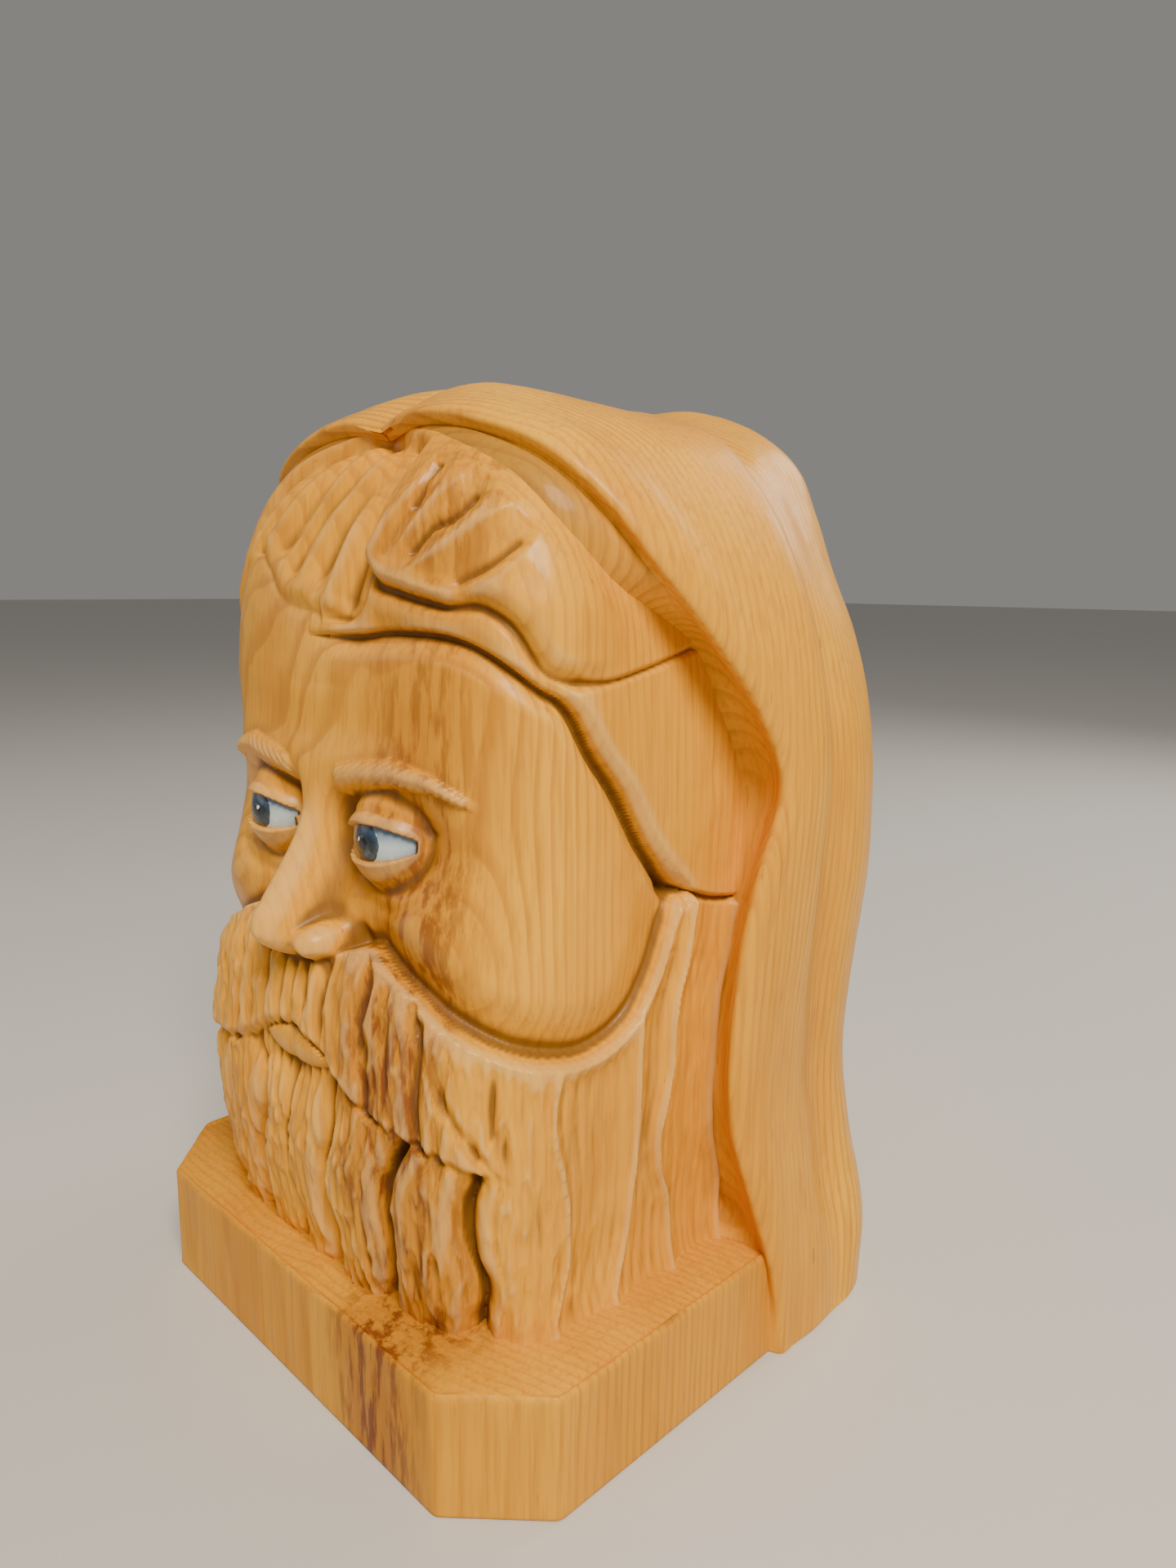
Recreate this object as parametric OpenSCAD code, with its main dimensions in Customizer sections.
// Carved wooden bust: a bearded head in a hood, standing on a chamfered plinth.
// Millimetres, +Z up, the face looks to -Y, the origin is under the middle of the base.
// Every carved element is a solid of its own and meets its neighbours face to face.

/* [Block] */
// Width of the plinth
plinth_w = 150; // [135:1:165]
// Depth of the plinth, from its front face to the hood's drape
plinth_d = 86; // [82:1:90]
// Height of the plinth
plinth_h = 28; // [24:1:32]
// Cut-off at each front corner of the plinth
corner_cut = 18; // [8:1:24]
// Bevel along the plinth's top edge
edge_bevel = 2; // [1:0.5:4]

/* [Hood] */
// Widest measure across the hood
hood_w = 157; // [150:1:168]
// Depth of the whole block, front to back
block_d = 138; // [134:1:146]
// Height of the whole bust
block_h = 228; // [220:1:240]
// Radius of the rolled rim around the face
rim_r = 4.5; // [3:0.5:6]
// Width of the hollow band between the rim and the hair
band_w = 5; // [3:0.5:7]

/* [Face] */
// Height of the eye line above the base
eye_z = 129; // [126:1:132]
// Distance from the middle of the face to each pupil
eye_x = 22; // [20:1:24]
// Radius of the eyeball
eye_r = 11; // [10:0.5:12]
// Radius of the painted iris
iris_r = 4.4; // [3.5:0.1:5]
// Radius of the painted pupil
pupil_r = 1.9; // [1.2:0.1:2.4]
// Thickness of the paint that stands on the eyeball
paint_t = 0.4; // [0.3:0.1:0.6]

/* [Hair] */
// Number of locks in the beard, from ear to ear
beard_locks = 17; // [11:2:19]
// Number of locks on each side of the fringe
fringe_locks = 5; // [4:1:6]
// Radius of a lock of hair
lock_r = 5; // [4:0.5:6]

/* [Hidden] */

LEFT = 1;
RIGHT = -1;
front_y = -block_d / 2;
// Unit of the carved outlines: the plinth's width, and the same share of the height
u = plinth_w;
v = block_h / 1.52;
far = 2 * block_h;
band_depth = 6;
rim_sink = 3;
rim_lead = 1;
lock_fn = 8;
lock_spread = 0.9;

// Rolled rim in side view: distance back from the front face, and height
RIM = [[0.575, 0.00], [0.575, 0.20], [0.500, 0.30], [0.462, 0.48], [0.468, 0.68], [0.500, 0.90],
    [0.470, 1.04], [0.390, 1.15], [0.320, 1.25], [0.262, 1.34], [0.215, 1.42], [0.200, 1.60]];

// Half outline of the hood seen from the front: height and half width, as shares
ARCH = [[0, 1], [0.14, 0.975], [0.26, 0.93], [0.42, 0.955], [0.56, 0.985], [0.66, 0.99],
    [0.74, 0.96], [0.80, 0.90], [0.86, 0.80], [0.91, 0.69], [0.95, 0.55], [0.98, 0.38], [0.995, 0.20]];

// Stations along the hood: distance back, share of the width, share of the height
STATIONS = [[0.14, 0.95, 0.945], [0.26, 0.98, 0.975], [0.36, 1.00, 0.992], [0.50, 1.00, 0.985],
    [0.62, 1.00, 0.976], [0.72, 1.00, 0.987], [0.80, 0.99, 1.000], [0.86, 0.95, 0.985],
    [0.90, 0.87, 0.950], [0.92, 0.76, 0.905]];

// The head without its locks: height, half width, distance back of its front
HEAD = [[0.187, 0.400, 0.066], [0.28, 0.410, 0.055], [0.42, 0.415, 0.050], [0.60, 0.415, 0.060],
    [0.75, 0.415, 0.080], [0.95, 0.412, 0.095], [1.08, 0.408, 0.100], [1.18, 0.400, 0.104],
    [1.27, 0.370, 0.125], [1.33, 0.330, 0.155], [1.375, 0.270, 0.190], [1.40, 0.190, 0.225]];
HEAD_BACK = 0.66;
HEAD_TURN = 0.30;

// Lower edge of the fringe and upper edge of the beard, in side view
FRINGE_EDGE = [[-0.20, 1.19], [0.10, 1.19], [0.15, 1.185], [0.19, 1.165], [0.24, 1.11],
    [0.30, 1.08], [0.47, 1.125], [0.70, 1.16]];
BEARD_EDGE = [[-0.20, 0.69], [0.07, 0.69], [0.12, 0.66], [0.17, 0.60], [0.23, 0.575],
    [0.32, 0.62], [0.40, 0.69], [0.455, 0.76], [0.56, 0.74], [0.70, 0.72]];
// Groove between the cheek and the side hair, in side view
CHEEK_EDGE = [[0.468, 0.74], [0.39, 0.85], [0.33, 0.94], [0.28, 1.02], [0.252, 1.13]];
SIDE_INNER = 0.30;

// Turns shares of the outline into millimetres
function side_point(p) = [front_y + p[0] * u, p[1] * v];
// Value of a table of rows at height share z, straight between its rows
function table(rows, z, column) = lookup(z, [for (row = rows) [row[0], row[column]]]);
// Power of a cosine or sine that keeps its sign, for rounded squares
function rounded(value, power) = sign(value) * pow(abs(value), power);
// Distance back of the rim at height share z
function rim_back(z) = lookup(z, [for (p = RIM) [p[1], p[0]]]);
// Share of the width (column 1) or height (column 2) of the hood at a distance back
function station(back, column) = lookup(back, [for (s = STATIONS) [s[0], s[column]]]);
// Distance back of the head's front surface at half width share x and height share z
function head_front(x, z) =
    let (c = table(HEAD, z, 1), f = table(HEAD, z, 2), s = min(0.999, abs(x) / c))
    HEAD_TURN - (HEAD_TURN - f) * pow(1 - pow(s, 3.2), 1 / 3.2);
// Point on the head's surface, sunk in by depth
function on_head(x, z, depth = 0) = [x * u, front_y + head_front(x, z) * u + depth, z * v];
// Point on the head's surface at a share of the way round, from the front (0) to behind the ear (1)
function round_head(share, z, depth = 0) =
    let (s = abs(share), c = table(HEAD, z, 1), f = table(HEAD, z, 2), turn = pow(min(1, s / 0.6), 1.6) * 90,
        x = (c * u - depth) * rounded(sin(turn), 0.625),
        y = (HEAD_TURN + (s > 0.6 ? (s - 0.6) * 0.6 : 0)) * u -
            ((HEAD_TURN - f) * u - depth) * rounded(cos(turn), 0.625))
    [sign(share) * x, front_y + y, z * v];

// Closed solid through rings of equal length
module loft(rings) {
    n = len(rings[0]);
    m = len(rings);
    points = [for (ring = rings) each ring];
    sides = [for (j = [0 : m - 2]) for (i = [0 : n - 1])
        let (a = j * n + i, b = j * n + (i + 1) % n) each [[a, b, b + n], [a, b + n, a + n]]];
    bottom = [for (i = [n - 1 : -1 : 0]) i];
    top = [for (i = [0 : n - 1]) (m - 1) * n + i];
    polyhedron(points, concat(sides, [bottom, top]), convexity = 6);
}

// Balls joined in a row, each given as [centre, radius]
module chain(balls, fn = lock_fn) {
    for (i = [0 : len(balls) - 2]) {
        hull() {
            translate(balls[i][0]) sphere(r = balls[i][1], $fn = fn);
            translate(balls[i + 1][0]) sphere(r = balls[i + 1][1], $fn = fn);
        }
    }
}

// Side-view outline carried from x = from to x = to
module side_slab(outline, from = -far / 2, to = far / 2) {
    translate([from, 0, 0]) rotate([90, 0, 90]) linear_extrude(to - from) polygon(outline);
}

module mirrored(side) {
    mirror([side == LEFT ? 0 : 1, 0, 0]) children();
}

// Everything at or behind the rim's line
module behind_rim() {
    line = [for (p = RIM) side_point(p)];
    side_slab(concat(line, [[far, line[len(line) - 1][1]], [far, 0]]));
}

// Hollow band that runs round the head just inside the rim
module band_cut() {
    line = [for (p = RIM) side_point(p)];
    back = [for (i = [len(line) - 1 : -1 : 1]) line[i] + [band_depth, 0]];
    intersection() {
        head_mass(band_w);
        side_slab(concat([for (i = [1 : len(line) - 1]) line[i] - [band_depth, 0]], back));
    }
}

module head_mass(grow = 0) {
    rings = [for (row = HEAD)
        let (c = row[1] * u + grow, f = row[2] * u - grow, b = HEAD_TURN * u, z = row[0] * v)
        concat([for (t = [0 : 12 : 180])
            [c * rounded(cos(t), 0.625), front_y + b - (b - f) * rounded(sin(t), 0.625), z]],
            [[-c, front_y + HEAD_BACK * u, z], [c, front_y + HEAD_BACK * u, z]])];
    cap = [for (p = rings[len(rings) - 1]) [p[0] * 0.6, p[1] * 0.9, p[2] + 3 + grow]];
    floor_ring = [for (p = rings[0]) [p[0], p[1], plinth_h - grow]];
    loft(concat([floor_ring], [for (i = [1 : len(rings) - 1]) rings[i]], [cap]));
}

module hood_mass() {
    loft([for (s = STATIONS)
        let (half = [for (a = ARCH) [a[1] * s[1] * hood_w / 2, a[0] * s[2] * block_h]],
            y = front_y + s[0] * block_d / 0.92)
        concat([for (p = half) [p[0], y, p[1]]],
            [for (i = [len(half) - 1 : -1 : 0]) [-half[i][0], y, half[i][1]]])]);
}

module fringe_zone() {
    line = [for (p = FRINGE_EDGE) side_point(p)];
    side_slab(concat(line, [[far, far], [-far, far], [-far, line[0][1]]]));
}

module beard_zone() {
    line = [for (p = BEARD_EDGE) side_point(p)];
    side_slab(concat(line, [[far, line[len(line) - 1][1]], [far, -1], [-far, -1], [-far, line[0][1]]]));
}

module side_hair_zone(side) {
    groove = [for (p = CHEEK_EDGE) side_point(p)];
    outline = concat(groove, [[far / 2, groove[len(groove) - 1][1]], [far / 2, groove[0][1]]]);
    mirrored(side) side_slab(outline, SIDE_INNER * u, far / 2);
}

// One lock of the beard, from its root under the cheek down to the plinth
module beard_lock(share, wave) {
    top = abs(share) < 0.55 ? 0.50 : 0.54 + 0.25 * (abs(share) - 0.55);
    chain([
        [round_head(share, top, 2), lock_r * 0.5],
        [round_head(share + wave, 0.42, 1.5), lock_r],
        [round_head(share - wave, 0.30, 1.5), lock_r],
        [round_head(share, 0.215, 2.5), lock_r * 0.8]]);
}

module beard_hair() {
    step = 2 * lock_spread / (beard_locks - 1);
    for (i = [0 : beard_locks - 1]) {
        beard_lock(i * step - lock_spread, (i % 2 == 0 ? 1 : -1) * step / 6);
    }
}

// Half of the moustache, drooping from under the nose to its point
module moustache_half(side) {
    mirrored(side) {
        for (row = [0 : 2]) {
            chain([
                [on_head(0.045, 0.665 - 0.03 * row, 0), 4.5],
                [on_head(0.14, 0.625 - 0.035 * row, -1), 6 - row * 0.5],
                [on_head(0.24, 0.52 - 0.03 * row, 0), 5 - row * 0.5],
                [on_head(0.325, 0.40 - 0.01 * row, 1), 2]], 10);
        }
    }
}

// Locks that start under the hood's cleft and sweep down to one side
module fringe_hair(side) {
    mirrored(side) {
        for (i = [0 : fringe_locks - 1]) {
            reach = i / (fringe_locks - 1);
            chain([
                [[2 + 6 * reach, front_y + (0.215 + 0.04 * reach) * u, 1.385 * v], lock_r * 0.7],
                [on_head(0.06 + 0.16 * reach, 1.335 - 0.01 * reach, 1), lock_r * 1.1],
                [on_head(0.07 + 0.25 * reach, 1.265 - 0.03 * reach, 0.5), lock_r * 1.3],
                [on_head(0.09 + 0.285 * reach, 1.205 - 0.05 * reach, 2), lock_r * 0.8]]);
        }
    }
}

// Long strands on the panel between the cheek and the hood
module side_strands(side) {
    mirrored(side) {
        for (i = [0 : 2]) {
            chain([
                [[0.404 * u - 1, front_y + (0.34 + 0.05 * i) * u, 1.06 * v], 2],
                [[0.412 * u - 1, front_y + (0.38 + 0.04 * i) * u, 0.95 * v], 3],
                [[0.412 * u - 1, front_y + (0.44 + 0.03 * i) * u, 0.82 * v], 3],
                [[0.412 * u - 1, front_y + (0.475 + 0.015 * i) * u, 0.78 * v], 2]]);
        }
    }
}

function eye_centre(side) = [side * eye_x, front_y + head_front(eye_x / u, eye_z / v) * u + eye_r * 0.72, eye_z];

module eyeball(side, extra = 0) {
    translate(eye_centre(side)) sphere(r = eye_r + extra, $fn = 40);
}

// Round column through the middle of one eye, from its centre to the front
module eye_column(side, radius) {
    translate(eye_centre(side)) rotate([90, 0, 0]) cylinder(r = radius, h = 2 * eye_r, $fn = 40);
}

module paint_disc(side, outer_r, inner_r) {
    intersection() {
        difference() {
            eyeball(side, paint_t);
            eyeball(side);
        }
        difference() {
            eye_column(side, outer_r);
            if (inner_r > 0) eye_column(side, inner_r);
        }
    }
}

module brow(side) {
    mirrored(side) {
        for (i = [0 : 5]) {
            x = 0.065 + 0.04 * i;
            chain([
                [on_head(x, 0.925 + 0.004 * i * (5 - i), -2.5 + i * 0.3), 2.4],
                [on_head(x + 0.05, 0.945 + 0.004 * i * (5 - i), -1.5 + i * 0.3), 1.6]]);
        }
    }
}

module nose() {
    hull() {
        translate([0, front_y + 12, eye_z + 6]) scale([1, 1, 1.5]) sphere(r = 4.5, $fn = 16);
        translate([0, front_y + 8, eye_z - 25]) sphere(r = 7, $fn = 20);
        for (side = [LEFT, RIGHT]) {
            translate([side * 6.5, front_y + 12, eye_z - 26]) sphere(r = 5, $fn = 16);
        }
    }
}

// Lids above and below one eye
module lids(side) {
    mirrored(side) {
        for (i = [0 : 3]) {
            a0 = -54 + 27 * i;
            upper = [for (a = [a0, a0 + 27]) [eye_centre(LEFT) + (eye_r + 0.2) *
                [sin(a), -cos(a) * cos(24), sin(24) * (1 - 0.25 * abs(a) / 54)], 1.7]];
            lower = [for (a = [a0, a0 + 27]) [eye_centre(LEFT) + (eye_r + 0.1) *
                [sin(a), -cos(a) * cos(30), -sin(30) * (1 - 0.45 * abs(a) / 54)], 1.3]];
            chain(upper);
            chain(lower);
        }
    }
}

module lip() {
    chain([
        [on_head(-0.09, 0.545, 1), 1.5],
        [on_head(-0.04, 0.55, -2.5), 3.6],
        [on_head(0.04, 0.55, -2.5), 3.6],
        [on_head(0.09, 0.545, 1), 1.5]], 12);
}

// Rolled rim on one side, from the cleft at the top down to the plinth
module rim_roll(side) {
    path = concat([for (i = [1 : len(ARCH) - 1]) ARCH[i]], [[1, 0]]);
    mirrored(side) {
        chain([for (a = path)
            let (back = rim_back(a[0] * 0.97 * block_h / v),
                x = max(0, a[1] * station(back, 1) * hood_w / 2 - rim_sink),
                z = a[0] * (station(back, 2) * block_h - rim_sink))
            [[x, front_y + back * u - rim_lead, z], rim_r]], 10);
    }
}

module plinth() {
    half = plinth_w / 2;
    outline = [[-half, front_y + plinth_d], [-half, front_y + corner_cut],
        [corner_cut - half, front_y], [half - corner_cut, front_y],
        [half, front_y + corner_cut], [half, front_y + plinth_d]];
    color("burlywood") {
        linear_extrude(plinth_h - edge_bevel) polygon(outline);
        hull() {
            translate([0, 0, plinth_h - edge_bevel - 0.01]) linear_extrude(0.01) polygon(outline);
            translate([0, 0, plinth_h - 0.01]) linear_extrude(0.01) offset(delta = -edge_bevel)
                polygon(outline);
        }
    }
}

module hood() {
    color("peru") difference() {
        intersection() {
            hood_mass();
            behind_rim();
        }
        head_mass();
        band_cut();
        rim_roll(LEFT);
        rim_roll(RIGHT);
        fringe_hair(LEFT);
        fringe_hair(RIGHT);
        side_strands(LEFT);
        side_strands(RIGHT);
        plinth();
    }
}

module hood_rim_left() {
    color("sandybrown") difference() {
        rim_roll(LEFT);
        rim_divide(RIGHT);
        plinth();
    }
}

module hood_rim_right() {
    color("sandybrown") difference() {
        rim_roll(RIGHT);
        rim_divide(LEFT);
        plinth();
    }
}

// Everything on the other side of the middle plane
module rim_divide(side) {
    mirrored(side) translate([0.4, -far / 2, 0]) cube([far / 2, far, far]);
}

// Everything that is carved out of the face or stands on it
module face_neighbours() {
    eyeball(LEFT);
    eyeball(RIGHT);
    brow(LEFT);
    brow(RIGHT);
    moustache_half(LEFT);
    moustache_half(RIGHT);
    lip();
    beard_hair();
    fringe_hair(LEFT);
    fringe_hair(RIGHT);
}

module face() {
    color("wheat") difference() {
        union() {
            head_mass();
            nose();
            lids(LEFT);
            lids(RIGHT);
        }
        beard_zone();
        fringe_zone();
        side_hair_zone(LEFT);
        side_hair_zone(RIGHT);
        face_neighbours();
    }
}

module lower_lip() {
    color("peru") difference() {
        lip();
        moustache_half(LEFT);
        moustache_half(RIGHT);
    }
}

module eyebrow_left() {
    color("tan") brow(LEFT);
}

module eyebrow_right() {
    color("tan") brow(RIGHT);
}

module eye_white_left() {
    color("aliceblue") eyeball(LEFT);
}

module eye_white_right() {
    color("aliceblue") eyeball(RIGHT);
}

module iris_left() {
    color("steelblue") paint_disc(LEFT, iris_r, pupil_r);
}

module iris_right() {
    color("steelblue") paint_disc(RIGHT, iris_r, pupil_r);
}

module pupil_left() {
    color("black") paint_disc(LEFT, pupil_r, 0);
}

module pupil_right() {
    color("black") paint_disc(RIGHT, pupil_r, 0);
}

module moustache_left() {
    color("chocolate") difference() {
        moustache_half(LEFT);
        rim_divide(RIGHT);
    }
}

module moustache_right() {
    color("chocolate") difference() {
        moustache_half(RIGHT);
        rim_divide(LEFT);
    }
}

module beard() {
    color("sienna") difference() {
        union() {
            intersection() {
                head_mass();
                beard_zone();
            }
            beard_hair();
        }
        plinth();
        lip();
        moustache_half(LEFT);
        moustache_half(RIGHT);
    }
}

module fringe(side) {
    difference() {
        union() {
            intersection() {
                head_mass();
                fringe_zone();
            }
            fringe_hair(side);
        }
        rim_divide(-side);
        rim_roll(side);
    }
}

module fringe_left() {
    color("goldenrod") fringe(LEFT);
}

module fringe_right() {
    color("goldenrod") fringe(RIGHT);
}

module side_hair(side) {
    difference() {
        union() {
            intersection() {
                head_mass();
                side_hair_zone(side);
            }
            side_strands(side);
        }
        beard_zone();
        fringe_zone();
        rim_roll(side);
    }
}

module side_hair_left() {
    color("darkgoldenrod") side_hair(LEFT);
}

module side_hair_right() {
    color("darkgoldenrod") side_hair(RIGHT);
}

plinth();
hood();
hood_rim_left();
hood_rim_right();
face();
lower_lip();
eyebrow_left();
eyebrow_right();
eye_white_left();
eye_white_right();
iris_left();
iris_right();
pupil_left();
pupil_right();
moustache_left();
moustache_right();
beard();
fringe_left();
fringe_right();
side_hair_left();
side_hair_right();
